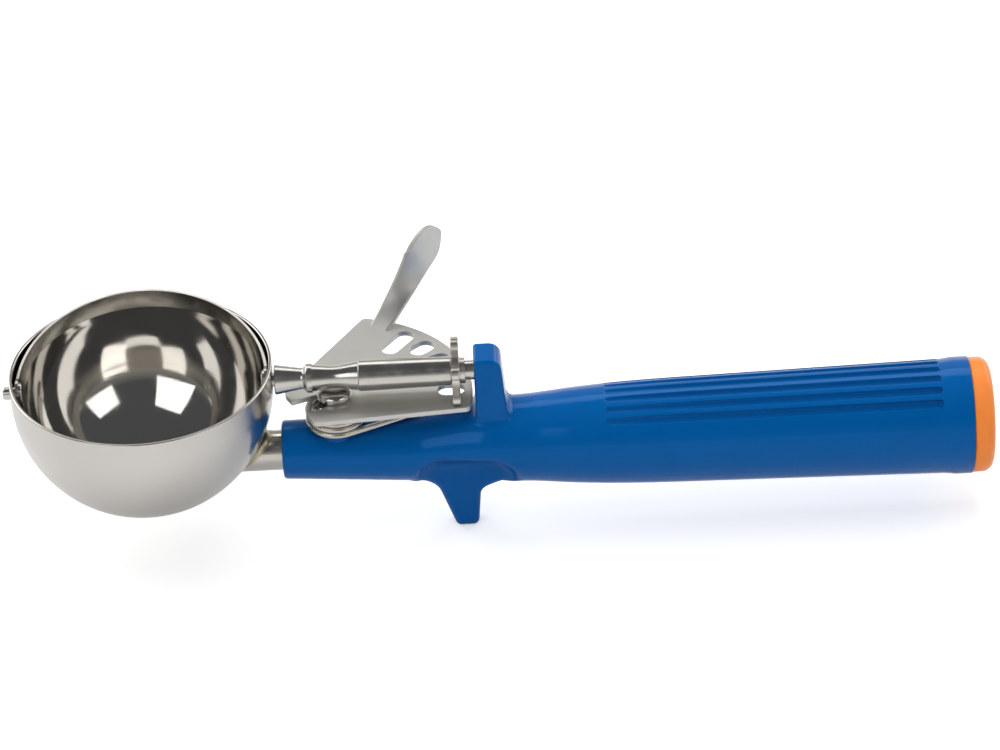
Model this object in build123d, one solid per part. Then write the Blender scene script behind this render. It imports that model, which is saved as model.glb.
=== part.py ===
from build123d import *
import math
import os

# Lever ice cream scoop. Millimetres. The origin is the centre of the butt cap's flat end.
# +X runs along the handle from the bowl to the butt, +Z points out of the bowl's mouth.

# Clearances
running_clearance = 0.05
side_clearance = 0.05
body_gap = 0.3

# Lengths along the handle, from the butt towards the bowl
cap_length = 4.8
grip_length = 116.1
barrel_length = 44.1
bowl_reach = 30.2
pivot_setback = 12.6
pinion_standoff = 4.1

# Bowl
bowl_inner_diameter = 57.15
bowl_wall = 0.8
rim_band_height = 5.0
rim_edge_round = 0.3
spindle_height = 19.3

# Stem and its braze
stem_radius = 4.6
stem_tang = 60.0
braze_size = 1.7

# Handle moulding
barrel_nose_radius = 6.65
barrel_rear_radius = 7.7
barrel_flare_length = 14.0
flare_rings = 5
nose_edge_round = 0.7
waist_radius = 9.85
waist_length = 5.6
shoulder_rise_length = 9.8
shoulder_rise_radius = 10.55
shoulder_radius = 11.9
shoulder_length = 37.5
grip_end_radius = 12.95
lip_radius = 13.3
lip_length = 3.2
guard_thickness = 6.0
guard_root_thickness = 7.8
guard_over_spindle = 4.7
guard_top_width = 7.7
guard_root_width = 12.0
guard_blend = 2.2
guard_edge_round = 0.8
guard_crest_round = 2.8
stop_depth = 22.3
stop_tip_front = 5.7
stop_tip_rear = 0.6
stop_tip_width = 5.4
stop_root_width = 8.8
stop_front_bend = (8.85, -12.9)
stop_front_flare = (11.6, -9.4)
stop_front_root = (17.5, -7.1)
stop_rear_bend = (-0.1, -14.2)
stop_rear_flare = (-3.3, -11.1)
stop_rear_root = (-10.0, -8.6)
stop_edge_round = 1.4
stop_tip_round = 1.2
hollow_setback = 3.0
hollow_length = 9.4
hollow_radius = 8.0
hollow_top = 1.0
groove_count = 7
groove_spacing = 14.0
groove_radius = 0.95
groove_depth = 0.85
groove_length = 74.0
groove_end_margin = 7.6
groove_front_sink = 0.1

# Butt cap
cap_radius = 13.05
cap_edge_round = 2.5
plug_radius = 9.6
plug_length = 11.0
plug_wall = 1.6

# Spindle, from the bowl to the guard
journal_radius = 1.5
cone_large_radius = 3.4
cone_small_radius = 2.4
cone_length = 6.0
collar_radius = 3.3
collar_length = 1.1
collar_flare = 1.3
collar_flare_slope = 0.4
neck_radius = 2.5
neck_end_radius = 3.25
neck_centre_offset = 0.3
neck_slope = 0.1
barrel_start_offset = 5.6
barrel_large_radius = 3.55
barrel_small_radius = 3.25
rear_journal_radius = 2.2
rear_journal_depth = 5.0
blade_head_radius = 2.4
blade_head_thickness = 0.8
spindle_chamfer = 0.25

# Pinion and the rack it runs in
tooth_count = 6
pinion_thickness = 1.7
pinion_hub_radius = 2.9
pinion_hub_length = 1.3
tooth_tip_width = 2.8
tooth_root_width = 2.3
tooth_reach = 1.8
tooth_root_gap = 0.35

# Scraper blade
blade_thickness = 0.6
blade_mid_width = 5.2
blade_end_width = 4.0
blade_ear_radius = 3.2
blade_rest_angle = 11.5
tip_pin_radius = 1.45
tip_pin_stickout = 1.8

# Thumb lever
lever_thickness = 1.2
lever_drop = 5.2
slot_pitch = 13.4
slot_rest_angle = 0.5
slot_count = 5
slot_width = 4.3
slot_inward = 4.3
slot_outward = 1.9
slot_corner = 2.1
last_slot_extra = 3.6
lever_guard_gap = 0.5
lever_front_angle = -13.2
lever_back_angle = 78.0
lever_corner = 1.2
lobe_centre = (-8.4, 2.1)
lobe_radius = 2.75
prong_centre = (-3.3, -7.7)
prong_radius = 2.2
notch_heading = 215.0

# Thumb tab
tab_angle = 67.7
tab_inset = 1.2
tab_root = 2.0
tab_thickness = 1.1
tab_sections = 10
twist_end = 0.9
neck_width = 5.1
leaf_width = 11.6
leaf_run = 17.6
leaf_rise = 18.1
leaf_heading = 49.2
leaf_swell_power = 4.3
flat_shares = (0.13, 0.145)
bend_shares = (0.895, 0.678)
tab_edge_share = 0.45

# Pivot post and spring
post_radius = 2.25
post_head_radius = 4.05
post_rim_height = 0.9
post_rim_chamfer = 0.35
post_dome_height = 1.1
dome_lean = 0.35
post_depth = 2.5
spacer_radius = 3.2
boss_radius = 4.9
boss_height = 0.8
wire_radius = 0.7
coil_radius = 6.2
whole_turns = 3
lower_leg_length = 17.0
lower_leg_angle = 23.5
hook_depth = 2.6

# Places worked out from the sizes above
bowl_inner_radius = bowl_inner_diameter / 2
bowl_outer_radius = bowl_inner_radius + bowl_wall
guard_x = -grip_length
guard_height = spindle_height + guard_over_spindle
nose_x = guard_x - barrel_length
bowl_x = nose_x - bowl_reach
pivot_x = nose_x + pivot_setback
pinion_x = guard_x - pinion_standoff
mesh_radius = pinion_x - pivot_x
lever_top = spindle_height - lever_drop
lever_bottom = lever_top - lever_thickness
lever_radius = guard_x - pivot_x - lever_guard_gap
gear_ratio = 360 / tooth_count / slot_pitch
tip_radius = lever_drop + lever_thickness + tooth_reach
root_radius = lever_drop - tooth_root_gap
blade_outer_radius = bowl_inner_radius - body_gap
blade_inner_radius = blade_outer_radius - blade_thickness
barrel_top = barrel_nose_radius
boss_top = barrel_top + boss_height
bowl_centre = Vector(bowl_x, 0, spindle_height)


def rod_x(radius, start, end, height=0.0):
    """A round bar along X between two places."""
    plane = Plane((start, 0, height), x_dir=(0, 1, 0), z_dir=(1, 0, 0))
    return extrude(plane * Circle(radius), end - start)


def rod_z(radius, start, end, x=pivot_x, y=0.0):
    """A round bar along Z between two heights."""
    return extrude(Plane((x, y, start)) * Circle(radius), end - start)


def bowl_ball(radius):
    """A ball about the bowl's centre."""
    return Pos(bowl_centre) * Sphere(radius)


# ---- bowl, stem and braze ----


def bowl_blank(radius):
    """The full cup shape of one radius: a ball with its upper half made into a straight band."""
    rest_on = (Align.CENTER, Align.CENTER, Align.MIN)
    hang_from = (Align.CENTER, Align.CENTER, Align.MAX)
    band = Cylinder(radius, rim_band_height, align=rest_on)
    cap = Sphere(radius) & Box(3 * radius, 3 * radius, 2 * radius, align=hang_from)
    return Pos(bowl_centre) * (band + cap)


def make_bowl():
    """Spun cup with a rounded rim and a bearing hole at each end of the spindle line."""
    cup = bowl_blank(bowl_outer_radius) - bowl_blank(bowl_inner_radius)
    rim_edges = cup.edges().group_by(Axis.Z)[-1]
    cup = fillet(rim_edges, rim_edge_round)
    reach = 2 * bowl_outer_radius
    driven_end = rod_x(journal_radius + running_clearance, bowl_x, bowl_x + reach, spindle_height)
    far_end = rod_x(tip_pin_radius + running_clearance, bowl_x - reach, bowl_x, spindle_height)
    return cup - driven_end - far_end


def stem_blank():
    """The stem as a plain bar that starts inside the bowl."""
    return rod_x(stem_radius, bowl_x, nose_x + stem_tang)


def make_stem():
    """Steel rod, coped to the bowl's wall, with a blind hole for the pivot post."""
    hole = rod_z(post_radius, -post_depth, 2 * stem_radius)
    return stem_blank() - bowl_ball(bowl_outer_radius) - hole


def make_braze_bead():
    """Fillet of braze round the joint between the stem and the bowl."""
    short_stem = rod_x(stem_radius, bowl_x, nose_x)
    ball = bowl_ball(bowl_outer_radius)
    joined = ball + short_stem
    seam = new_edges(ball, short_stem, combined=joined)
    return fillet(seam, braze_size) - ball - short_stem


# ---- handle ----


def barrel_ring(x, radius, top):
    """One round section of the barrel whose crown is at a height."""
    plane = Plane((x, 0, top - radius), x_dir=(0, 1, 0), z_dir=(1, 0, 0))
    return plane * Circle(radius)


def handle_core():
    """Barrel, waist and grip without the guard and the finger stop."""
    flare_start = guard_x - barrel_flare_length
    guard_mid = guard_x + guard_thickness / 2
    waist_mid = guard_mid + waist_length / 2
    nose = barrel_ring(nose_x, barrel_nose_radius, barrel_top)
    flare = []
    for number in range(flare_rings + 1):
        share = number / flare_rings
        swell = share * share * (3 - 2 * share)
        radius = barrel_rear_radius + (waist_radius - barrel_rear_radius) * swell
        top = barrel_top + (waist_radius - barrel_top) * swell
        flare.append(barrel_ring(flare_start + (guard_mid - flare_start) * share, radius, top))
    barrel = loft([nose, flare[0]]) + loft([*flare, barrel_ring(waist_mid, waist_radius, waist_radius)])
    waist_end = guard_mid + waist_length
    shoulder_end = waist_end + shoulder_length
    lip_start = -cap_length - lip_length
    slope = (grip_end_radius - shoulder_radius) / (lip_start - shoulder_end)
    rise = Spline(
        (waist_end, 0, waist_radius),
        (waist_end + shoulder_rise_length, 0, shoulder_rise_radius),
        (shoulder_end, 0, shoulder_radius),
        tangents=[(1, 0, 0), (1, 0, slope)],
    )
    taper = Line(rise @ 1, (lip_start - lip_length, 0, grip_end_radius))
    swell = Spline(taper @ 1, (lip_start, 0, lip_radius), tangents=[(1, 0, slope), (1, 0, 0)])
    end_face = Polyline(
        swell @ 1,
        (-cap_length, 0, lip_radius),
        (-cap_length, 0, 0),
        (waist_mid, 0, 0),
        (waist_mid, 0, waist_radius),
        (waist_end, 0, waist_radius),
    )
    outline = make_face([rise, taper, swell, end_face])
    return barrel + revolve(outline, Axis.X, 360)


def make_guard():
    """Upright guard behind the pinion: tapered both ways, with a rounded crest."""
    half_top = guard_top_width / 2
    half_root = guard_root_width / 2
    front_view = Polygon(
        (-half_root, 0),
        (half_root, 0),
        (half_top, guard_height),
        (-half_top, guard_height),
        align=None,
    )
    side_view = Polygon(
        (0, 0),
        (guard_root_thickness, 0),
        (guard_thickness, guard_height),
        (0, guard_height),
        align=None,
    )
    across = Plane((guard_x, 0, 0), x_dir=(0, 1, 0), z_dir=(1, 0, 0))
    along = Plane((guard_x, 0, 0), x_dir=(1, 0, 0), z_dir=(0, -1, 0))
    guard = extrude(across * front_view, guard_root_thickness)
    guard = guard & extrude(along * side_view, half_root, both=True)
    crest = guard.edges().filter_by(Axis.Y).group_by(Axis.Z)[-1].sort_by(Axis.X)[-1]
    guard = fillet(crest, guard_crest_round)
    upper_half = guard.edges().filter_by(lambda edge: edge.center().Z > guard_height / 3)
    rims = upper_half.filter_by(lambda edge: edge.length > guard_edge_round)
    return fillet(rims, guard_edge_round)


def stop_point(place):
    """A point of the finger stop's side view, given as its distance ahead of the guard and its height."""
    return (-place[0], place[1])


def stop_outline():
    """Side view of the finger stop: a straight-sided spur with a sweeping flare at each side of its root."""
    tip = Line((-stop_tip_rear, -stop_depth), (-stop_tip_front, -stop_depth))
    front_line = Line(tip @ 1, stop_point(stop_front_bend))
    front_flare = Spline(
        front_line @ 1,
        stop_point(stop_front_flare),
        stop_point(stop_front_root),
        tangents=[front_line % 1, (-1, 0)],
    )
    rear_line = Line(tip @ 0, stop_point(stop_rear_bend))
    rear_flare = Spline(
        rear_line @ 1,
        stop_point(stop_rear_flare),
        stop_point(stop_rear_root),
        tangents=[rear_line % 1, (1, 0)],
    )
    root_height = -barrel_rear_radius / 2
    root = Polyline(
        front_flare @ 1,
        ((front_flare @ 1).X, root_height),
        ((rear_flare @ 1).X, root_height),
        rear_flare @ 1,
    )
    return make_face([tip, front_line, front_flare, root, rear_flare, rear_line])


def stop_hollow(side):
    """Round-nosed cutter that hollows one flank of the barrel and leaves the spur's flat side."""
    width = 2 * waist_radius
    depth = 2 * stop_depth
    block = Box(hollow_length + 2 * hollow_radius, width, depth)
    centre = (guard_x - hollow_setback, side * (stop_tip_width + width) / 2, hollow_top - depth / 2)
    block = Pos(centre) * block
    uprights = block.edges().filter_by(Axis.Z).sort_by(lambda edge: abs(edge.center().Y))[:2]
    crown = block.edges().group_by(Axis.Z)[-1].sort_by(lambda edge: abs(edge.center().Y))[:3]
    return fillet([*uprights, *crown], hollow_radius)


def make_finger_stop():
    """Spur below the guard, with flat sides, rounded corners and a blunt tip."""
    half_tip = stop_tip_width / 2
    half_root = stop_root_width / 2
    front_view = Polygon(
        (-half_tip, -stop_depth),
        (half_tip, -stop_depth),
        (half_root, -barrel_rear_radius),
        (half_root, 0),
        (-half_root, 0),
        (-half_root, -barrel_rear_radius),
        align=None,
    )
    along = Plane((guard_x, 0, 0), x_dir=(1, 0, 0), z_dir=(0, -1, 0))
    across = Plane((guard_x - stop_depth, 0, 0), x_dir=(0, 1, 0), z_dir=(1, 0, 0))
    spur = extrude(along * stop_outline(), half_root, both=True)
    spur = spur & extrude(across * front_view, 2 * stop_depth)
    for side in (-1, 1):
        spur = spur - stop_hollow(side)
    corners = []
    for face in spur.faces().filter_by(lambda face: abs(face.center().Y) < half_tip / 2):
        lengthways = face.edges().filter_by(lambda edge: abs((edge % 0.5).Y) < 0.5)
        corners += lengthways.filter_by(lambda edge: edge.center().Z < stop_front_flare[1])
    corners = [edge for edge in corners if edge.center().Z > -stop_depth + stop_tip_round]
    spur = fillet(corners, stop_edge_round)
    return fillet(spur.edges().group_by(Axis.Z)[0], stop_tip_round)


def groove_cutter(angle):
    """One finger groove along the grip at an angle from the top, with round ends."""
    rear_x = -cap_length - groove_end_margin
    front_x = rear_x - groove_length
    offset = groove_radius - groove_depth
    front = Vector(front_x, 0, shoulder_radius - groove_front_sink + offset)
    rear = Vector(rear_x, 0, grip_end_radius + offset)
    line = Line(front, rear)
    plane = Plane(front, z_dir=line % 0)
    bar = extrude(plane * Circle(groove_radius), line.length)
    ends = [Pos(point) * Sphere(groove_radius) for point in (front, rear)]
    return (bar + ends).rotate(Axis.X, angle)


def make_handle_body():
    """The one-piece moulding with its sockets, holes and grooves."""
    core = handle_core()
    core = fillet(core.edges().group_by(Axis.X)[0], nose_edge_round)
    guard = make_guard()
    body = core + guard
    body = fillet(new_edges(core, guard, combined=body), guard_blend)
    for side in (-1, 1):
        body = body - stop_hollow(side)
    body = body + make_finger_stop()
    body = body + rod_z(boss_radius, 0, boss_top)
    for number in range(groove_count):
        angle = (number - (groove_count - 1) / 2) * groove_spacing
        body = body - groove_cutter(angle)
    body = body - stem_blank()
    body = body - rod_z(post_radius, 0, 2 * boss_top)
    hook = spring_hook_place()
    hook_bottom = barrel_top + wire_radius - hook_depth
    hook_hole = wire_radius + running_clearance
    body = body - rod_z(hook_hole, hook_bottom, 2 * barrel_top, pivot_x + hook.X, hook.Y)
    bearing_end = guard_x + rear_journal_depth + body_gap
    body = body - rod_x(rear_journal_radius + running_clearance, pinion_x, bearing_end, spindle_height)
    return body - rod_x(plug_radius + running_clearance, -cap_length - plug_length - body_gap, 0)


def make_butt_cap():
    """Domed plug: a thick rounded disc with a hollow spigot in the grip."""
    disc = rod_x(cap_radius, -cap_length, 0)
    disc = fillet(disc.edges().group_by(Axis.X)[-1], cap_edge_round)
    spigot = rod_x(plug_radius, -cap_length - plug_length, -cap_length)
    hollow = rod_x(plug_radius - plug_wall, -cap_length - plug_length, -cap_length)
    return disc + (spigot - hollow)


# ---- spindle and pinion ----


def shaft_point(x, radius):
    """A corner of the spindle's outline."""
    return (x, 0, spindle_height + radius)


def blade_seat(radius):
    """Distance from the bowl's centre at which a flat ring of this radius touches the blade's inside."""
    return math.sqrt(blade_inner_radius**2 - radius**2)


def make_spindle():
    """Turned shaft: riveted head, journal, cone, collar, neck, long barrel and rear journal."""
    head_end = bowl_x + blade_seat(blade_head_radius)
    head_start = head_end - blade_head_thickness
    cone_start = bowl_x + bowl_outer_radius + body_gap
    collar_start = cone_start + cone_length + collar_flare
    collar_end = collar_start + collar_length
    neck_x = pivot_x + neck_centre_offset
    barrel_start = pivot_x + barrel_start_offset
    barrel_end = pinion_x - pinion_thickness / 2
    front = Polyline(
        shaft_point(head_start, 0),
        shaft_point(head_start, blade_head_radius - spindle_chamfer),
        shaft_point(head_start + spindle_chamfer, blade_head_radius),
        shaft_point(head_end, blade_head_radius),
        shaft_point(head_end, journal_radius),
        shaft_point(cone_start, journal_radius),
        shaft_point(cone_start, cone_large_radius - spindle_chamfer),
        shaft_point(cone_start + spindle_chamfer, cone_large_radius),
        shaft_point(cone_start + cone_length, cone_small_radius),
    )
    flare = Spline(
        front @ 1,
        shaft_point(collar_start, collar_radius),
        tangents=[(1, 0, 0), (1, 0, collar_flare_slope)],
    )
    collar = Polyline(
        flare @ 1,
        shaft_point(collar_end, collar_radius),
        shaft_point(collar_end, collar_radius - spindle_chamfer),
    )
    neck = Spline(
        collar @ 1,
        shaft_point(neck_x, neck_radius),
        shaft_point(barrel_start, neck_end_radius),
        tangents=[(1, 0, -neck_slope), (1, 0, neck_slope)],
    )
    rear = Polyline(
        neck @ 1,
        shaft_point(barrel_start, barrel_large_radius - spindle_chamfer),
        shaft_point(barrel_start + spindle_chamfer, barrel_large_radius),
        shaft_point(barrel_end - spindle_chamfer, barrel_small_radius),
        shaft_point(barrel_end, barrel_small_radius - spindle_chamfer),
        shaft_point(barrel_end, rear_journal_radius),
        shaft_point(guard_x + rear_journal_depth, rear_journal_radius),
        shaft_point(guard_x + rear_journal_depth, 0),
        shaft_point(head_start, 0),
    )
    outline = make_face([front, flare, collar, neck, rear])
    return revolve(outline, Axis(shaft_point(0, 0), (1, 0, 0)), 360)


def make_pinion():
    """Star wheel: six round-ended teeth on a disc, with a short hub towards the guard."""
    disc_plane = Plane((pinion_x - pinion_thickness / 2, 0, spindle_height), x_dir=(0, 1, 0), z_dir=(1, 0, 0))
    tooth_phase = slot_rest_angle * gear_ratio
    tip_centre = tip_radius - tooth_tip_width / 2
    flank = Polygon(
        (0, -tooth_root_width / 2),
        (root_radius, -tooth_root_width / 2),
        (tip_centre, -tooth_tip_width / 2),
        (tip_centre, tooth_tip_width / 2),
        (root_radius, tooth_root_width / 2),
        (0, tooth_root_width / 2),
        align=None,
    )
    tooth = flank + Pos(tip_centre, 0) * Circle(tooth_tip_width / 2)
    star = Circle(root_radius)
    for number in range(tooth_count):
        star = star + Rot(0, 0, tooth_phase - 90 + number * 360 / tooth_count) * tooth
    wheel = extrude(disc_plane * star, pinion_thickness)
    hub_end = pinion_x + pinion_thickness / 2 + pinion_hub_length
    hub = rod_x(pinion_hub_radius, pinion_x, hub_end, spindle_height)
    return wheel + hub - rod_x(rear_journal_radius, pinion_x - pinion_thickness, hub_end, spindle_height)


# ---- scraper blade and its far pin ----


def make_scraper_blade():
    """Half ring of thin strip that follows the inside of the bowl, with a round ear at each end."""
    shell = bowl_ball(blade_outer_radius) - bowl_ball(blade_inner_radius)
    rest = math.radians(blade_rest_angle)
    outward = (0, math.cos(rest), math.sin(rest))
    plane = Plane(tuple(bowl_centre), x_dir=(1, 0, 0), z_dir=outward)
    half_mid = blade_mid_width / 2
    half_end = blade_end_width / 2
    reach = blade_outer_radius
    upper = ThreePointArc((-reach, half_end), (0, half_mid), (reach, half_end))
    lower = ThreePointArc((reach, -half_end), (0, -half_mid), (-reach, -half_end))
    sides = [Line(upper @ 1, lower @ 0), Line(lower @ 1, upper @ 0)]
    strip = extrude(plane * make_face([upper, lower, *sides]), 2 * reach)
    ears = rod_x(blade_ear_radius, bowl_x - 2 * reach, bowl_x + 2 * reach, spindle_height)
    driven_hole = rod_x(journal_radius, bowl_x, bowl_x + 2 * reach, spindle_height)
    pin_hole = rod_x(tip_pin_radius, bowl_x - 2 * reach, bowl_x, spindle_height)
    return shell & (strip + ears) - driven_hole - pin_hole


def make_blade_pin():
    """Headed pin that carries the blade's far ear in the bowl's wall."""
    seat_x = bowl_x - blade_seat(blade_head_radius)
    end_x = bowl_x - bowl_outer_radius - tip_pin_stickout
    shank = rod_x(tip_pin_radius, end_x, seat_x, spindle_height)
    shank = fillet(shank.edges().group_by(Axis.X)[0], tip_pin_radius / 3)
    head = rod_x(blade_head_radius, seat_x, seat_x + blade_head_thickness, spindle_height)
    head = fillet(head.edges().group_by(Axis.X)[-1], blade_head_thickness / 2)
    return shank + head


# ---- thumb lever ----


def tangent_point(start, centre, radius, side):
    """Where the line from start touches a circle, on its left (+1) or right (-1) side."""
    across = Vector(*centre) - Vector(*start)
    turn = side * math.degrees(math.asin(radius / across.length))
    reach = math.sqrt(across.length**2 - radius**2)
    return Vector(*start) + across.normalized().rotate(Axis.Z, turn) * reach


def lever_outline():
    """The flat plate: lobe, prong and toothed arc joined by straight edges, less the notch and slots."""
    hole_radius = post_radius + running_clearance
    lobe = Pos(*lobe_centre) * Circle(lobe_radius)
    prong = Pos(*prong_centre) * Circle(prong_radius)
    arc = CenterArc((0, 0), lever_radius, lever_front_angle, lever_back_angle - lever_front_angle)
    plate = make_hull([*lobe.edges(), *prong.edges(), arc.edge()])
    ends = [plate.vertices().sort_by_distance(arc @ place)[0] for place in (0, 1)]
    plate = fillet(ends, lever_corner)
    heading = Vector(1, 0).rotate(Axis.Z, notch_heading)
    side_step = heading.rotate(Axis.Z, 90) * hole_radius
    prong_side = tangent_point(tuple(side_step), prong_centre, prong_radius, -1)
    lobe_side = tangent_point(tuple(-side_step), lobe_centre, lobe_radius, 1)
    notch = Polygon(
        tuple(side_step)[:2],
        tuple(side_step + (prong_side - side_step) * 2)[:2],
        tuple(-side_step + (lobe_side + side_step) * 2)[:2],
        tuple(-side_step)[:2],
        align=None,
    )
    plate = plate - notch - Circle(hole_radius)
    for number in range(slot_count):
        extra = last_slot_extra if number == slot_count - 1 else 0
        inner = mesh_radius - slot_inward - extra
        outer = mesh_radius + slot_outward
        slot = Pos((inner + outer) / 2, 0) * RectangleRounded(outer - inner, slot_width, slot_corner)
        plate = plate - Rot(0, 0, slot_rest_angle + number * slot_pitch) * slot
    return plate


def thumb_tab():
    """Neck that leaves the plate's edge, twists a quarter turn as it rises, and ends in a round leaf."""
    outward = Vector(1, 0).rotate(Axis.Z, leaf_heading)
    across = Vector(1, 0).rotate(Axis.Z, leaf_heading - 90)
    base = Vector(lever_radius - tab_inset, 0).rotate(Axis.Z, tab_angle)
    middle = lever_top - lever_thickness / 2

    def place(run, rise):
        return base + outward * run + Vector(0, 0, middle + rise)

    path = Bezier(
        place(-tab_root, 0),
        place(leaf_run * flat_shares[0], leaf_rise * flat_shares[1]),
        place(leaf_run * bend_shares[0], leaf_rise * bend_shares[1]),
        place(leaf_run, leaf_rise),
    )
    leaf_radius = leaf_width / 2
    sections = []
    for number in range(tab_sections):
        share = number / (tab_sections - 1)
        turn = min(share / twist_end, 1)
        twist = math.radians(90) * turn * turn * (3 - 2 * turn)
        widen = min(share * path.length / (path.length - leaf_radius), 1)
        width = neck_width + (leaf_width - neck_width) * widen**leaf_swell_power
        along = path % share
        upward = across.cross(along)
        width_way = across * math.cos(twist) - upward * math.sin(twist)
        plane = Plane(path @ share, x_dir=width_way, z_dir=along)
        sections.append(plane * RectangleRounded(width, tab_thickness, tab_thickness * tab_edge_share))
    ribbon = loft(sections)
    tip_way = path % 1
    tip_plane = Plane(path @ 1 - tip_way * leaf_radius, x_dir=tip_way, z_dir=across)
    beyond = Pos(leaf_width, 0) * Rectangle(2 * leaf_width, 2 * leaf_width)
    corners = tip_plane * (beyond - Circle(leaf_radius))
    return ribbon - extrude(corners, leaf_width, both=True)


def make_thumb_lever():
    """Stamped rack plate and thumb tab in one piece."""
    plate = extrude(Plane((0, 0, lever_bottom)) * lever_outline(), lever_thickness)
    return Pos(pivot_x, 0, 0) * (plate + thumb_tab())


# ---- pivot and spring ----


def make_pivot_post():
    """Rivet with a rimmed dome above the lever, its shank set in the stem."""
    under = lever_top + side_clearance
    rim_top = under + post_rim_height
    crown = rim_top + post_dome_height
    side = Polyline(
        (pivot_x, 0, -post_depth),
        (pivot_x + post_radius, 0, -post_depth),
        (pivot_x + post_radius, 0, under),
        (pivot_x + post_head_radius - post_rim_chamfer, 0, under),
        (pivot_x + post_head_radius, 0, under + post_rim_chamfer),
        (pivot_x + post_head_radius, 0, rim_top),
    )
    dome = Spline(side @ 1, (pivot_x, 0, crown), tangents=[(-dome_lean, 0, 1), (-1, 0, 0)])
    centre = Line(dome @ 1, side @ 0)
    return revolve(make_face([side, dome, centre]), Axis((pivot_x, 0, 0), (0, 0, 1)), 360)


def make_pivot_spacer():
    """Sleeve on the post that holds the lever at its height inside the spring."""
    top = lever_bottom - side_clearance
    return rod_z(spacer_radius, boss_top, top) - rod_z(post_radius, boss_top, top)


def spring_hook_place():
    """Where the spring's lower leg turns down into the barrel."""
    leave = Vector(coil_radius, 0).rotate(Axis.Z, lower_leg_angle - 90)
    return leave + Vector(lower_leg_length, 0).rotate(Axis.Z, lower_leg_angle)


def make_lever_spring():
    """Torsion spring: a coil round the post, a leg hooked into the barrel and a tip in the lever's notch."""
    low = barrel_top + wire_radius + running_clearance
    high = lever_bottom - wire_radius - running_clearance
    bearing_angle = math.degrees(math.asin((post_radius - wire_radius) / coil_radius))
    start_angle = lower_leg_angle - 90
    turns = whole_turns + (start_angle - (notch_heading + bearing_angle - 360)) / 360
    coil = Helix((high - low) / turns, high - low, coil_radius, lefthand=True)
    coil = Pos(0, 0, low) * Rot(0, 0, start_angle) * coil
    section = Plane(coil @ 0, z_dir=coil % 0) * Circle(wire_radius)
    spring = sweep(section, path=coil)
    hook = Vector(0, 0, low) + spring_hook_place()
    hook_bottom = hook - Vector(0, 0, hook_depth)
    tip = coil @ 1
    tip_top = Vector(tip.X, tip.Y, lever_top + body_gap)
    for start, end in ((coil @ 0, hook), (hook, hook_bottom), (tip, tip_top)):
        line = Line(start, end)
        spring = spring + extrude(Plane(start, z_dir=line % 0) * Circle(wire_radius), line.length)
    for corner in (coil @ 0, hook, tip):
        spring = spring + Pos(corner) * Sphere(wire_radius)
    return Pos(pivot_x, 0, 0) * spring


parts = {
    "bowl": make_bowl,
    "stem": make_stem,
    "braze_bead": make_braze_bead,
    "handle_body": make_handle_body,
    "butt_cap": make_butt_cap,
    "spindle": make_spindle,
    "pinion": make_pinion,
    "scraper_blade": make_scraper_blade,
    "blade_pin": make_blade_pin,
    "thumb_lever": make_thumb_lever,
    "pivot_post": make_pivot_post,
    "pivot_spacer": make_pivot_spacer,
    "lever_spring": make_lever_spring,
}

os.makedirs("parts", exist_ok=True)
for name, maker in parts.items():
    solid = maker()
    solid.label = name
    export_step(solid, f"parts/{name}.step")
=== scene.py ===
import bpy
import math
from mathutils import Matrix, Vector


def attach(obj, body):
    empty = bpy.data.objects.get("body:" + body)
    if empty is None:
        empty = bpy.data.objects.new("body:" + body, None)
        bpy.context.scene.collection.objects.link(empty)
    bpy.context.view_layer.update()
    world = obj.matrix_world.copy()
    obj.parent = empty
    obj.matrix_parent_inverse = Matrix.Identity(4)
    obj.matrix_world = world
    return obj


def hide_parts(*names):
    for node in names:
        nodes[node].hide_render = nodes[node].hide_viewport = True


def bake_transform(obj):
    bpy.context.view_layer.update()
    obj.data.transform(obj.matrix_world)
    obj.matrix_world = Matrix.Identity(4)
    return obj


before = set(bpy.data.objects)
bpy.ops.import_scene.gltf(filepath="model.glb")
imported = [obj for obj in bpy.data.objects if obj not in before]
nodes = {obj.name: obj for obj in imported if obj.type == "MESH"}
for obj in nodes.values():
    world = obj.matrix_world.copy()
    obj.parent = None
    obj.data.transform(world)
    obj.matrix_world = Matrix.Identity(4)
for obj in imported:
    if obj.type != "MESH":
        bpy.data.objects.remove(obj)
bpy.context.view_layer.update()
print("frame loaded:", len(nodes), "nodes")

mm = 0.001   # the scene is in metres, and small sizes are given in millimetres

# The camera stands square on to the handle and looks down into the bowl's mouth.
cameraSetup = {
    "target": (-0.110285, 0.0, 0.017474),   # m
    "distance": 0.950,     # m
    "elevation": 35.0,     # degrees above the rim plane
    "roll": 2.93,          # degrees, so that the handle climbs to the right
    "lens": 152.7,         # mm
    "sensor": 36.0,        # mm
    "nearest": 0.05,       # m
    "farthest": 50.0,      # m
}


def placeCamera(setup):
    lift = math.radians(setup["elevation"])
    back = Vector((0, -math.cos(lift), math.sin(lift)))
    level = Vector((0, math.sin(lift), math.cos(lift)))
    up = Matrix.Rotation(math.radians(-setup["roll"]), 3, back) @ level
    right = up.cross(back)
    data = bpy.data.cameras.new("camera")
    data.lens = setup["lens"]
    data.sensor_width = setup["sensor"]
    data.clip_start = setup["nearest"]
    data.clip_end = setup["farthest"]
    camera = bpy.data.objects.new("camera", data)
    bpy.context.scene.collection.objects.link(camera)
    place = Matrix((right, up, back)).transposed().to_4x4()
    place.translation = Vector(setup["target"]) + back * setup["distance"]
    camera.matrix_world = place
    bpy.context.scene.camera = camera


placeCamera(cameraSetup)
print("camera placed")


# an sRGB hex colour as the linear values that sockets take
def toLinear(hexColour):
    channels = [int(hexColour[start:start + 2], 16) / 255 for start in (1, 3, 5)]
    return [c / 12.92 if c <= 0.04045 else ((c + 0.055) / 1.055) ** 2.4 for c in channels] + [1.0]


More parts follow.
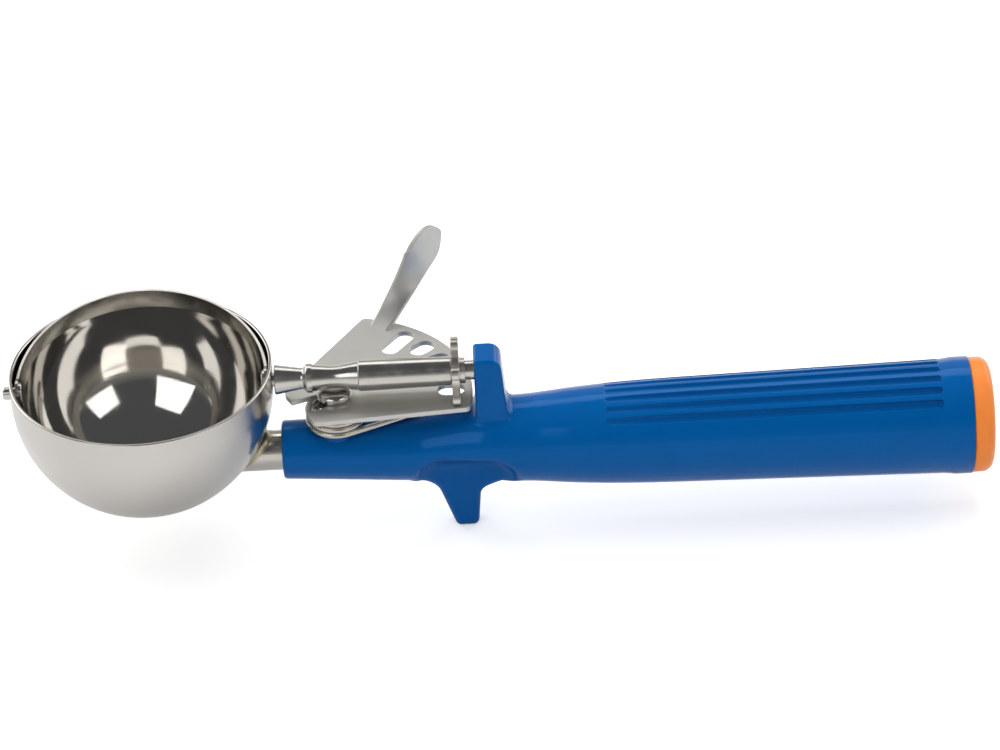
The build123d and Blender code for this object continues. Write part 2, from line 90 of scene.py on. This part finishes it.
# one node with its settings, its plain values and its links
def addNode(tree, kind, inputs=None, **settings):
    node = tree.nodes.new(kind)
    for name, value in settings.items():
        setattr(node, name, value)
    for name, value in (inputs or {}).items():
        if isinstance(value, bpy.types.NodeSocket):
            tree.links.new(value, node.inputs[name])
        else:
            node.inputs[name].default_value = value
    return node


def newMaterial(name):
    material = bpy.data.materials.new(name)
    material.use_nodes = True
    material.node_tree.nodes.clear()
    return material, material.node_tree


def dress(nodeName, material):
    for slot in nodes[nodeName].material_slots:
        slot.material = material


# a solid's own mesh as a new piece, its loose triangles joined up
def weldedCopy(nodeName, pieceName, weld, material):
    bpy.ops.object.select_all(action="DESELECT")
    piece = bpy.data.objects.new(pieceName, nodes[nodeName].data.copy())
    bpy.context.scene.collection.objects.link(piece)
    piece.select_set(True)
    bpy.context.view_layer.objects.active = piece
    bpy.ops.object.mode_set(mode="EDIT")
    bpy.ops.mesh.select_all(action="SELECT")
    bpy.ops.mesh.remove_doubles(threshold=weld * mm)
    bpy.ops.object.mode_set(mode="OBJECT")
    piece.data.materials.clear()
    piece.data.materials.append(material)
    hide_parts(nodeName)
    return piece


# one even skin whose edges are rounded by smoothing
def softenedCopy(nodeName, pieceName, body, material, look):
    piece = weldedCopy(nodeName, pieceName, look["weld"], material)
    piece.data.remesh_voxel_size = look["skin"] * mm
    piece.data.use_remesh_preserve_volume = True
    bpy.ops.object.voxel_remesh()
    modifier = piece.modifiers.new("smoothing", "SMOOTH")
    modifier.factor = look["softness"]
    modifier.iterations = look["passes"]
    bpy.ops.object.modifier_apply(modifier=modifier.name)
    bpy.ops.object.shade_smooth()
    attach(piece, body)


noiseRange = (0.35, 0.65)   # where most values of a noise pattern lie
edgeSamples = 8             # rays that look for the neighbouring face of a rounded edge
grooveSamples = 6           # rays that feel how open a groove is

# Injection-moulded polypropylene: deep even colour, soft gloss, faint orange peel and handling marks.
bluePlastic = {
    "colour": "#005ea8",
    "deepColour": "#0058a0",
    "driftSize": 14.0,        # mm, over which the two colours change places
    # painted shade: the colour that grooves and creases are darkened towards, and how far the occlusion
    # looks
    "grooveShadeColour": "#003e7c",
    "grooveShadeReach": 1.8,       # mm
    "roughness": (0.1, 0.17),
    "ior": 1.49,
    "specular": 0.55,         # 0.5 is the plain level for this IOR
    "shineTint": "#6fa6ea",   # the dye colours the shine too
    "edgeRadius": 0.45,       # mm, the mould's parting edges
    "rootRadius": 2.2,        # mm, where the finger stop blends into the barrel
    "rootBox": ((-140.0, -14.0, -18.0), (-92.0, 14.0, 4.0)),   # mm, lowest and highest corner
    "rootCore": 0.85,         # share of that box in which the root's radius is full
    "peelSize": 1.3,          # mm between the waves of the moulded skin
    "peelDepth": 0.006,       # mm
    "peelStrength": 0.35,
    "scuffSize": 3.15,        # mm, a patch of scuffs; single ones are too fine to show
    "scuffRange": (0.35, 0.7),
}
orangePlastic = {
    "colour": "#ff9648",
    "deepColour": "#ff8e40",
    "driftSize": 14.0,
    # painted shade: the colour that grooves and creases are darkened towards, and how far the occlusion
    # looks
    "grooveShadeColour": "#dc6414",
    "grooveShadeReach": 0.8,
    "roughness": (0.18, 0.28),
    "ior": 1.49,
    "specular": 0.3,
    "shineTint": "#ffe0c8",
    "edgeRadius": 0.4,
    "peelSize": 1.1,
    "peelDepth": 0.006,
    "peelStrength": 0.35,
    "scuffSize": 3.15,
    "scuffRange": (0.35, 0.7),
}


# radius of the moulded edges: even, or larger inside the box round a root
def mouldedRadius(tree, place, look):
    if "rootBox" not in look:
        return look["edgeRadius"] * mm
    lowest, highest = [[edge * mm for edge in corner] for corner in look["rootBox"]]
    middle = [(low + high) / 2 for low, high in zip(lowest, highest)]
    reach = [2 / (high - low) for low, high in zip(lowest, highest)]
    fromMiddle = addNode(tree, "ShaderNodeVectorMath", {0: place, 1: middle}, operation="SUBTRACT")
    boxed = addNode(tree, "ShaderNodeVectorMath", {
        0: fromMiddle.outputs["Vector"], 1: reach,
    }, operation="MULTIPLY")
    distance = addNode(tree, "ShaderNodeVectorMath", {0: boxed.outputs["Vector"]}, operation="ABSOLUTE")
    sides = addNode(tree, "ShaderNodeSeparateXYZ", {"Vector": distance.outputs["Vector"]})
    widest = addNode(tree, "ShaderNodeMath", {
        0: sides.outputs["X"], 1: sides.outputs["Y"],
    }, operation="MAXIMUM")
    furthest = addNode(tree, "ShaderNodeMath", {
        0: widest.outputs["Value"], 1: sides.outputs["Z"],
    }, operation="MAXIMUM")
    radius = addNode(tree, "ShaderNodeMapRange", {
        "Value": furthest.outputs["Value"], "From Min": 1.0, "From Max": look["rootCore"],
        "To Min": look["edgeRadius"] * mm, "To Max": look["rootRadius"] * mm,
    })
    return radius.outputs["Result"]


def mouldedPolypropylene(name, look):
    material, tree = newMaterial(name)
    place = addNode(tree, "ShaderNodeTexCoord").outputs["Object"]
    drift = addNode(tree, "ShaderNodeTexNoise", {
        "Vector": place, "Scale": 1 / (look["driftSize"] * mm), "Detail": 3.0,
    })
    colour = addNode(tree, "ShaderNodeMix", {
        "Factor": drift.outputs["Fac"],
        "A": toLinear(look["deepColour"]), "B": toLinear(look["colour"]),
    }, data_type="RGBA")
    # painted shade: grooves and creases are darkened towards the groove shade colour where occlusion finds
    # them closed in
    openness = addNode(tree, "ShaderNodeAmbientOcclusion", {
        "Distance": look["grooveShadeReach"] * mm,
    }, samples=grooveSamples)
    shaded = addNode(tree, "ShaderNodeMix", {
        "Factor": openness.outputs["AO"],
        "A": toLinear(look["grooveShadeColour"]), "B": colour.outputs["Result"],
    }, data_type="RGBA")
    scuff = addNode(tree, "ShaderNodeTexNoise", {
        "Vector": place, "Scale": 1 / (look["scuffSize"] * mm), "Detail": 6.0, "Roughness": 0.65,
    })
    gloss = addNode(tree, "ShaderNodeMapRange", {
        "Value": scuff.outputs["Fac"],
        "From Min": look["scuffRange"][0], "From Max": look["scuffRange"][1],
        "To Min": look["roughness"][0], "To Max": look["roughness"][1],
    })
    peel = addNode(tree, "ShaderNodeTexNoise", {
        "Vector": place, "Scale": 1 / (look["peelSize"] * mm), "Detail": 2.0,
    })
    rounded = addNode(tree, "ShaderNodeBevel", {
        "Radius": mouldedRadius(tree, place, look),
    }, samples=edgeSamples)
    bump = addNode(tree, "ShaderNodeBump", {
        "Height": peel.outputs["Fac"], "Strength": look["peelStrength"],
        "Distance": look["peelDepth"] * mm, "Normal": rounded.outputs["Normal"],
    })
    shader = addNode(tree, "ShaderNodeBsdfPrincipled", {
        "Base Color": shaded.outputs["Result"], "Roughness": gloss.outputs["Result"],
        "IOR": look["ior"], "Specular IOR Level": look["specular"],
        "Specular Tint": toLinear(look["shineTint"]), "Normal": bump.outputs["Normal"],
    })
    addNode(tree, "ShaderNodeOutputMaterial", {"Surface": shader.outputs["BSDF"]})
    return material


dress("handle_body", mouldedPolypropylene("mouldedBluePolypropylene", bluePlastic))

# the cap is worn round at its edges
capSkin = {
    "weld": 0.002,       # mm
    "skin": 0.4,         # mm, the size of the skin's faces
    "softness": 0.5,     # how far each pass evens the skin out
    "passes": 3,
}
orangeMaterial = mouldedPolypropylene("mouldedOrangePolypropylene", orangePlastic)
softenedCopy("butt_cap", "buttCapMoulding", "handle", orangeMaterial, capSkin)
print("plastics done")

# Spun stainless steel cup: mirror-polished inside with fine lathe lines, satin outside.
bowlSteel = {
    "colour": "#cecbc6",
    "centre": (-190.4, 0.0, 19.3),           # mm
    "midWallRadius": 28.97,                  # mm, between the inner and outer skins
    "insideRoughness": (0.04, 0.12),
    "insideRange": (0.8, 1.25),              # the added patterns, from bright to dull
    "outsideRoughness": (0.18, 0.26),
    "hazeSize": 9.0,                         # mm
    "lineSpacing": 0.45,                     # mm; the polisher's lines are about 0.1 and would not show
    "lineLength": 16.0,                      # mm along the turn
    "lineDepth": 0.0035,                     # mm
    "scratchSpacing": 0.5,                   # mm, of the scourer's strokes left in the polish
    "scratchLength": 9.0,                    # mm
    "scratchTurn": (17.189, 28.648, 38.0),   # degrees
    "trustedAbove": 0.95,                    # cosine between the mesh's normal and the spun one
}


# lathe lines run round the cup and follow each other from its foot up to the rim
def latheLines(tree, axes, look):
    flat = addNode(tree, "ShaderNodeCombineXYZ", {"X": axes.outputs["X"], "Y": axes.outputs["Y"]})
    spread = addNode(tree, "ShaderNodeVectorMath", {0: flat.outputs["Vector"]}, operation="LENGTH")
    fall = addNode(tree, "ShaderNodeMath", {0: axes.outputs["Z"], 1: -1.0}, operation="MULTIPLY")
    polar = addNode(tree, "ShaderNodeMath", {
        0: spread.outputs["Value"], 1: fall.outputs["Value"],
    }, operation="ARCTAN2")
    step = addNode(tree, "ShaderNodeMath", {
        0: polar.outputs["Value"], 1: look["midWallRadius"] / look["lineSpacing"],
    }, operation="MULTIPLY")
    around = addNode(tree, "ShaderNodeVectorMath", {0: flat.outputs["Vector"]}, operation="NORMALIZE")
    turned = addNode(tree, "ShaderNodeVectorMath", {
        0: around.outputs["Vector"], 3: look["midWallRadius"] / look["lineLength"],
    }, operation="SCALE")
    sideways = addNode(tree, "ShaderNodeSeparateXYZ", {"Vector": turned.outputs["Vector"]})
    lineSpace = addNode(tree, "ShaderNodeCombineXYZ", {
        "X": sideways.outputs["X"], "Y": sideways.outputs["Y"], "Z": step.outputs["Value"],
    })
    lines = addNode(tree, "ShaderNodeTexNoise", {
        "Vector": lineSpace.outputs["Vector"], "Scale": 1.0, "Detail": 3.0, "Roughness": 0.6,
    })
    return lines.outputs["Fac"]


# scouring strokes run at a slant across the cup
def scouredStrokes(tree, place, look):
    turn = [math.radians(angle) for angle in look["scratchTurn"]]
    slanted = addNode(tree, "ShaderNodeMapping", {"Vector": place, "Rotation": turn})
    along = 1 / (look["scratchLength"] * mm)
    across = 1 / (look["scratchSpacing"] * mm)
    strokes = addNode(tree, "ShaderNodeMapping", {
        "Vector": slanted.outputs["Vector"], "Scale": (along, across, across),
    })
    scratches = addNode(tree, "ShaderNodeTexNoise", {
        "Vector": strokes.outputs["Vector"], "Scale": 1.0, "Detail": 3.0, "Roughness": 0.7,
    })
    return scratches.outputs["Fac"]


# bright inside where lines and strokes leave it, satin with a slow haze outside
def cupRoughness(tree, place, lines, outside, look):
    haze = addNode(tree, "ShaderNodeTexNoise", {
        "Vector": place, "Scale": 1 / (look["hazeSize"] * mm), "Detail": 4.0,
    })
    worn = addNode(tree, "ShaderNodeMath", {0: lines, 1: scouredStrokes(tree, place, look)}, operation="ADD")
    dulled = addNode(tree, "ShaderNodeMath", {
        0: worn.outputs["Value"], 1: 0.5, 2: haze.outputs["Fac"],
    }, operation="MULTIPLY_ADD")
    mirror = addNode(tree, "ShaderNodeMapRange", {
        "Value": dulled.outputs["Value"],
        "From Min": look["insideRange"][0], "From Max": look["insideRange"][1],
        "To Min": look["insideRoughness"][0], "To Max": look["insideRoughness"][1],
    })
    satin = addNode(tree, "ShaderNodeMapRange", {
        "Value": haze.outputs["Fac"], "From Min": noiseRange[0], "From Max": noiseRange[1],
        "To Min": look["outsideRoughness"][0], "To Max": look["outsideRoughness"][1],
    })
    roughness = addNode(tree, "ShaderNodeMix", {
        "Factor": outside, "A": mirror.outputs["Result"], "B": satin.outputs["Result"],
    })
    return roughness.outputs["Result"]


# the spun skin's own normal, kept wherever the surface really faces along it
def spunNormal(tree, cup, outside, look):
    ray = addNode(tree, "ShaderNodeVectorMath", {0: cup}, operation="NORMALIZE")
    side = addNode(tree, "ShaderNodeMath", {0: outside, 1: 2.0, 2: -1.0}, operation="MULTIPLY_ADD")
    facing = addNode(tree, "ShaderNodeVectorMath", {
        0: ray.outputs["Vector"], 3: side.outputs["Value"],
    }, operation="SCALE")
    spun = addNode(tree, "ShaderNodeVectorTransform", {
        "Vector": facing.outputs["Vector"],
    }, vector_type="NORMAL", convert_from="OBJECT", convert_to="WORLD")
    surface = addNode(tree, "ShaderNodeNewGeometry").outputs["Normal"]
    agree = addNode(tree, "ShaderNodeVectorMath", {
        0: spun.outputs["Vector"], 1: surface,
    }, operation="DOT_PRODUCT")
    trusted = addNode(tree, "ShaderNodeMath", {
        0: agree.outputs["Value"], 1: look["trustedAbove"],
    }, operation="GREATER_THAN")
    skin = addNode(tree, "ShaderNodeMix", {
        "Factor": trusted.outputs["Value"], "A": surface, "B": spun.outputs["Vector"],
    }, data_type="VECTOR")
    return skin.outputs["Result"]


def spunStainless(name, look):
    material, tree = newMaterial(name)
    place = addNode(tree, "ShaderNodeTexCoord").outputs["Object"]
    centre = [value * mm for value in look["centre"]]
    local = addNode(tree, "ShaderNodeVectorMath", {0: place, 1: centre}, operation="SUBTRACT")
    axes = addNode(tree, "ShaderNodeSeparateXYZ", {"Vector": local.outputs["Vector"]})
    # the straight band below the rim counts as level with the ball's centre
    below = addNode(tree, "ShaderNodeMath", {0: axes.outputs["Z"], 1: 0.0}, operation="MINIMUM")
    cup = addNode(tree, "ShaderNodeCombineXYZ", {
        "X": axes.outputs["X"], "Y": axes.outputs["Y"], "Z": below.outputs["Value"],
    }).outputs["Vector"]
    radius = addNode(tree, "ShaderNodeVectorMath", {0: cup}, operation="LENGTH")
    outside = addNode(tree, "ShaderNodeMath", {
        0: radius.outputs["Value"], 1: look["midWallRadius"] * mm,
    }, operation="GREATER_THAN").outputs["Value"]
    inside = addNode(tree, "ShaderNodeMath", {0: 1.0, 1: outside}, operation="SUBTRACT")
    lines = latheLines(tree, axes, look)
    bump = addNode(tree, "ShaderNodeBump", {
        "Height": lines, "Strength": inside.outputs["Value"],
        "Distance": look["lineDepth"] * mm, "Normal": spunNormal(tree, cup, outside, look),
    })
    shader = addNode(tree, "ShaderNodeBsdfPrincipled", {
        "Base Color": toLinear(look["colour"]), "Metallic": 1.0,
        "Roughness": cupRoughness(tree, place, lines, outside, look), "Normal": bump.outputs["Normal"],
    })
    addNode(tree, "ShaderNodeOutputMaterial", {"Surface": shader.outputs["BSDF"]})
    return material


dress("bowl", spunStainless("spunPolishedStainless", bowlSteel))
print("bowl done")

# Turned bar steel: bright, with rings left by the tool across the axis.
spindleSteel = {
    "colour": "#cfccc7",
    "roughness": (0.16, 0.26),
    "axis": "X",
    "ringSpacing": 0.3,     # mm
    "ringDepth": 0.0012,    # mm
}
postSteel = {
    "colour": "#cac7c2",
    "roughness": (0.14, 0.24),
    "axis": "Z",
    "ringSpacing": 0.3,
    "ringDepth": 0.001,
}
# Drawn rod and wire: the same steel, with fainter marks that lie further apart.
stemSteel = {
    "colour": "#c8c5bd",
    "roughness": (0.1, 0.18),
    "axis": "X",
    "ringSpacing": 0.5,
    "ringDepth": 0.0006,
}
springSteel = {
    "colour": "#c6c1b7",
    "roughness": (0.18, 0.26),
    "axis": "Z",
    "ringSpacing": 0.5,
    "ringDepth": 0.0006,
}
turnedPatterns = {
    "ringRun": 12.0,        # mm that a ring keeps its depth for
    "ringStrength": 0.5,
    "hazeSize": 3.0,        # mm
}


def turnedSteel(name, look):
    material, tree = newMaterial(name)
    place = addNode(tree, "ShaderNodeTexCoord").outputs["Object"]
    fine = 1 / (look["ringSpacing"] * mm)
    coarse = 1 / (turnedPatterns["ringRun"] * mm)
    stretch = [fine if axis == look["axis"] else coarse for axis in "XYZ"]
    stretched = addNode(tree, "ShaderNodeMapping", {"Vector": place, "Scale": stretch})
    rings = addNode(tree, "ShaderNodeTexNoise", {
        "Vector": stretched.outputs["Vector"], "Scale": 1.0, "Detail": 3.0, "Roughness": 0.6,
    })
    haze = addNode(tree, "ShaderNodeTexNoise", {
        "Vector": place, "Scale": 1 / (turnedPatterns["hazeSize"] * mm), "Detail": 4.0,
    })
    gloss = addNode(tree, "ShaderNodeMapRange", {
        "Value": haze.outputs["Fac"], "From Min": noiseRange[0], "From Max": noiseRange[1],
        "To Min": look["roughness"][0], "To Max": look["roughness"][1],
    })
    bump = addNode(tree, "ShaderNodeBump", {
        "Height": rings.outputs["Fac"], "Strength": turnedPatterns["ringStrength"],
        "Distance": look["ringDepth"] * mm,
    })
    shader = addNode(tree, "ShaderNodeBsdfPrincipled", {
        "Base Color": toLinear(look["colour"]), "Metallic": 1.0,
        "Roughness": gloss.outputs["Result"], "Normal": bump.outputs["Normal"],
    })
    addNode(tree, "ShaderNodeOutputMaterial", {"Surface": shader.outputs["BSDF"]})
    return material


spindleMaterial = turnedSteel("turnedStainless", spindleSteel)
postMaterial = turnedSteel("polishedRivetSteel", postSteel)
dress("spindle", spindleMaterial)
dress("blade_pin", spindleMaterial)
dress("pivot_post", postMaterial)
dress("pivot_spacer", postMaterial)
dress("stem", turnedSteel("drawnStainlessRod", stemSteel))

# the spring's own mesh as one welded, smooth-shaded piece
springWinding = {
    "weld": 0.002,             # mm
    "axis": (-147.6, 0.0),     # mm, the pivot post's centre line
    "stillBelow": 8.15,        # mm, the top of the lower leg
    "turnsAbove": 11.45,       # mm, the foot of the tip
    "smoothUnder": 40.0,       # degrees
}


def makeSpring(look, material):
    spring = weldedCopy("lever_spring", "leverSpringWinding", look["weld"], material)
    bpy.ops.mesh.customdata_custom_splitnormals_clear()
    bpy.ops.object.shade_smooth_by_angle(angle=math.radians(look["smoothUnder"]))
    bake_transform(spring)


makeSpring(springWinding, turnedSteel("drawnSpringWire", springSteel))
print("turned parts done")

# Rolled stainless sheet, blanked and tumbled: grey satin with a fine grain along the roll.
leverSteel = {
    "colour": "#d4d3cf",
    "roughness": (0.46, 0.54),
    "grainHeading": -55.0,     # degrees
    "grainWidth": 0.35,        # mm
    "grainLength": 9.0,        # mm
    "grainDepth": 0.0016,      # mm
    "edgeRadius": 0.3,         # mm
}
pinionSteel = {
    "colour": "#d6d2ca",
    "roughness": (0.28, 0.38),
    "grainHeading": 0.0,
    "grainWidth": 0.4,
    "grainLength": 2.0,
    "grainDepth": 0.003,
    "edgeRadius": 0.25,
}
bladeSteel = {
    "colour": "#c9c6bf",
    "roughness": (0.16, 0.26),
    "grainHeading": 0.0,
    "grainWidth": 0.3,
    "grainLength": 8.0,
    "grainDepth": 0.0012,
    "edgeRadius": 0.1,
}
sheetPatterns = {
    "grainStrength": 0.5,
    "hazeSize": 4.0,           # mm
}


def rolledSheet(name, look):
    material, tree = newMaterial(name)
    place = addNode(tree, "ShaderNodeTexCoord").outputs["Object"]
    heading = (0.0, 0.0, math.radians(look["grainHeading"]))
    along = addNode(tree, "ShaderNodeMapping", {"Vector": place, "Rotation": heading})
    lengthways = 1 / (look["grainLength"] * mm)
    across = 1 / (look["grainWidth"] * mm)
    squeezed = addNode(tree, "ShaderNodeMapping", {
        "Vector": along.outputs["Vector"], "Scale": (lengthways, across, across),
    })
    grain = addNode(tree, "ShaderNodeTexNoise", {
        "Vector": squeezed.outputs["Vector"], "Scale": 1.0, "Detail": 4.0, "Roughness": 0.6,
    })
    haze = addNode(tree, "ShaderNodeTexNoise", {
        "Vector": place, "Scale": 1 / (sheetPatterns["hazeSize"] * mm), "Detail": 5.0,
    })
    gloss = addNode(tree, "ShaderNodeMapRange", {
        "Value": haze.outputs["Fac"], "From Min": noiseRange[0], "From Max": noiseRange[1],
        "To Min": look["roughness"][0], "To Max": look["roughness"][1],
    })
    # tumbling takes the burr off the edges
    rounded = addNode(tree, "ShaderNodeBevel", {"Radius": look["edgeRadius"] * mm}, samples=edgeSamples)
    bump = addNode(tree, "ShaderNodeBump", {
        "Height": grain.outputs["Fac"], "Strength": sheetPatterns["grainStrength"],
        "Distance": look["grainDepth"] * mm, "Normal": rounded.outputs["Normal"],
    })
    shader = addNode(tree, "ShaderNodeBsdfPrincipled", {
        "Base Color": toLinear(look["colour"]), "Metallic": 1.0,
        "Roughness": gloss.outputs["Result"], "Normal": bump.outputs["Normal"],
    })
    addNode(tree, "ShaderNodeOutputMaterial", {"Surface": shader.outputs["BSDF"]})
    return material


dress("thumb_lever", rolledSheet("rolledSatinStainless", leverSteel))
dress("pinion", rolledSheet("blankedPinionSteel", pinionSteel))
dress("scraper_blade", rolledSheet("scraperStripStainless", bladeSteel))

# Silver braze: a dull yellow-grey fillet, lightly rippled where it froze.
brazeLook = {
    "colour": "#bfb79c",
    "darkColour": "#a39b82",
    "roughness": 0.3,
    "rippleSize": 0.6,         # mm
    "rippleDepth": 0.02,       # mm
    "rippleStrength": 0.6,
}


def silverBraze(name, look):
    material, tree = newMaterial(name)
    place = addNode(tree, "ShaderNodeTexCoord").outputs["Object"]
    ripple = addNode(tree, "ShaderNodeTexNoise", {
        "Vector": place, "Scale": 1 / (look["rippleSize"] * mm), "Detail": 3.0,
    })
    colour = addNode(tree, "ShaderNodeMix", {
        "Factor": ripple.outputs["Fac"],
        "A": toLinear(look["darkColour"]), "B": toLinear(look["colour"]),
    }, data_type="RGBA")
    bump = addNode(tree, "ShaderNodeBump", {
        "Height": ripple.outputs["Fac"], "Strength": look["rippleStrength"],
        "Distance": look["rippleDepth"] * mm,
    })
    shader = addNode(tree, "ShaderNodeBsdfPrincipled", {
        "Base Color": colour.outputs["Result"], "Metallic": 1.0,
        "Roughness": look["roughness"], "Normal": bump.outputs["Normal"],
    })
    addNode(tree, "ShaderNodeOutputMaterial", {"Surface": shader.outputs["BSDF"]})
    return material


dress("braze_bead", silverBraze("silverBraze", brazeLook))
print("sheet parts and braze done")

# The studio: white floor and background, upright soft boxes, and a dim room that only reflections see.
studio = {
    "middle": (-0.16, 0.0, 0.0),    # m
    "floorMiddle": (-0.11, 0.0),    # m
    "floorHeight": -22.4,           # mm, under the finger stop
    "floorSize": 6.0,               # m
    "floorColour": "#f2f2f2",
    "floorRoughness": 0.9,
    "floorGlow": 0.45,              # added where the camera sees the floor
    "floorShine": 0.0,              # added where metal and plastic mirror it
    "worldFill": 0.25,
    "overhead": (1.25, 1.2, 1.9),   # height and width (m), brightness
    "roomRadius": 2.6,              # m
    "roomSegments": 48,
    "roomLowest": 8.0,              # degrees above the object's level
    "roomWall": "#b2aea6",
    "roomCeiling": "#565759",
    "wallTop": 0.2,                 # share of the radius up to which the wall is all light
    "ceilingFoot": 0.5,             # share of the radius from which the ceiling is all dark
    "backWallRise": 0.35,           # how far the light wall climbs towards the back
    # azimuth from the front (degrees), lowest and highest edge (degrees), distance, width (m), brightness
    "boxes": {
        "frontLeft": (-32.5, 27.0, 54.0, 1.15, 0.86, 1.7),
        "frontRight": (53.0, 28.0, 46.0, 1.3, 0.8, 1.7),
        "backLeft": (-130.0, 14.0, 50.0, 1.3, 1.02, 2.5),
        "backRight": (127.0, 12.0, 40.0, 1.3, 0.95, 1.9),
        "backTop": (178.0, 43.0, 60.0, 1.0, 1.27, 1.7),
    },
}


# brightness of a background where the camera sees it and where glossy things mirror it
def backgroundRays(tree, direct, mirrored):
    path = addNode(tree, "ShaderNodeLightPath")
    bounced = addNode(tree, "ShaderNodeMath", {
        0: path.outputs["Is Glossy Ray"], 1: path.outputs["Is Transmission Ray"],
    }, operation="MAXIMUM")
    mirror = addNode(tree, "ShaderNodeMath", {
        0: bounced.outputs["Value"], 1: mirrored,
    }, operation="MULTIPLY")
    seen = addNode(tree, "ShaderNodeMath", {
        0: path.outputs["Is Camera Ray"], 1: direct, 2: mirror.outputs["Value"],
    }, operation="MULTIPLY_ADD")
    return seen.outputs["Value"]


def makeFloor(setup):
    bpy.ops.object.select_all(action="DESELECT")
    place = (*setup["floorMiddle"], setup["floorHeight"] * mm)
    bpy.ops.mesh.primitive_plane_add(size=setup["floorSize"], location=place)
    floor = bpy.context.active_object
    floor.name = "floor"
    material, tree = newMaterial("whitePaperSweep")
    shader = addNode(tree, "ShaderNodeBsdfPrincipled", {
        "Base Color": toLinear(setup["floorColour"]),
        "Roughness": setup["floorRoughness"], "Specular IOR Level": 0.0,
        "Emission Color": (1.0, 1.0, 1.0, 1.0),
        "Emission Strength": backgroundRays(tree, setup["floorGlow"], setup["floorShine"]),
    })
    addNode(tree, "ShaderNodeOutputMaterial", {"Surface": shader.outputs["BSDF"]})
    floor.data.materials.append(material)


def makeWorld(setup):
    world = bpy.data.worlds.new("studioWorld")
    bpy.context.scene.world = world
    world.use_nodes = True
    tree = world.node_tree
    tree.nodes.clear()
    strength = addNode(tree, "ShaderNodeMapRange", {
        "Value": backgroundRays(tree, 1.0, 1.0), "To Min": setup["worldFill"], "To Max": 1.0,
    })
    light = addNode(tree, "ShaderNodeBackground", {
        "Color": (1.0, 1.0, 1.0, 1.0), "Strength": strength.outputs["Result"],
    })
    addNode(tree, "ShaderNodeOutputWorld", {"Surface": light.outputs["Background"]})


def makeBoxes(setup):
    for name, (azimuth, lowest, highest, distance, width, brightness) in setup["boxes"].items():
        bottom = distance * math.tan(math.radians(lowest))
        top = distance * math.tan(math.radians(highest))
        data = bpy.data.lights.new(name, "AREA")
        data.shape = "RECTANGLE"
        data.size = width
        data.size_y = top - bottom
        data.energy = brightness * math.pi * data.size * data.size_y
        box = bpy.data.objects.new(name, data)
        bpy.context.scene.collection.objects.link(box)
        turn = math.radians(azimuth)
        outward = Vector((math.sin(turn), -math.cos(turn), 0))
        box.location = Vector(setup["middle"]) + outward * distance + Vector((0, 0, (top + bottom) / 2))
        box.rotation_euler = (math.radians(90), 0, turn)


# a broad soft light straight above, kept out of the reflections
def makeOverhead(setup):
    height, width, brightness = setup["overhead"]
    data = bpy.data.lights.new("overhead", "AREA")
    data.shape = "SQUARE"
    data.size = width
    data.energy = brightness * math.pi * width * width
    lamp = bpy.data.objects.new("overhead", data)
    bpy.context.scene.collection.objects.link(lamp)
    lamp.location = Vector(setup["middle"]) + Vector((0, 0, height))
    lamp.visible_glossy = False


def makeRoom(setup):
    bpy.ops.object.select_all(action="DESELECT")
    bpy.ops.mesh.primitive_uv_sphere_add(
        segments=setup["roomSegments"], ring_count=setup["roomSegments"],
        radius=setup["roomRadius"], location=setup["middle"])
    room = bpy.context.active_object
    room.name = "room"
    bpy.ops.object.mode_set(mode="EDIT")
    bpy.ops.mesh.select_all(action="DESELECT")
    bpy.ops.object.mode_set(mode="OBJECT")
    lowest = math.sin(math.radians(setup["roomLowest"]))
    for face in room.data.polygons:
        face.select = face.center.normalized().z < lowest
    bpy.ops.object.mode_set(mode="EDIT")
    bpy.ops.mesh.delete(type="FACE")
    bpy.ops.object.mode_set(mode="OBJECT")
    material, tree = newMaterial("dimStudioRoom")
    place = addNode(tree, "ShaderNodeTexCoord").outputs["Object"]
    axes = addNode(tree, "ShaderNodeSeparateXYZ", {"Vector": place})
    # the far wall stays light to a greater height than the near one
    behind = addNode(tree, "ShaderNodeMath", {0: axes.outputs["Y"], 1: 0.0}, operation="MAXIMUM")
    height = addNode(tree, "ShaderNodeMath", {
        0: behind.outputs["Value"], 1: -setup["backWallRise"], 2: axes.outputs["Z"],
    }, operation="MULTIPLY_ADD")
    rise = addNode(tree, "ShaderNodeMapRange", {
        "Value": height.outputs["Value"],
        "From Min": setup["wallTop"] * setup["roomRadius"],
        "From Max": setup["ceilingFoot"] * setup["roomRadius"],
    })
    colour = addNode(tree, "ShaderNodeMix", {
        "Factor": rise.outputs["Result"],
        "A": toLinear(setup["roomWall"]), "B": toLinear(setup["roomCeiling"]),
    }, data_type="RGBA")
    dim = addNode(tree, "ShaderNodeEmission", {"Color": colour.outputs["Result"], "Strength": 1.0})
    addNode(tree, "ShaderNodeOutputMaterial", {"Surface": dim.outputs["Emission"]})
    room.data.materials.append(material)
    room.visible_camera = False
    room.visible_diffuse = False
    room.visible_shadow = False
    room.visible_volume_scatter = False


makeFloor(studio)
makeWorld(studio)
makeBoxes(studio)
makeOverhead(studio)
makeRoom(studio)
bpy.context.scene.view_settings.view_transform = "Standard"
print("studio done")
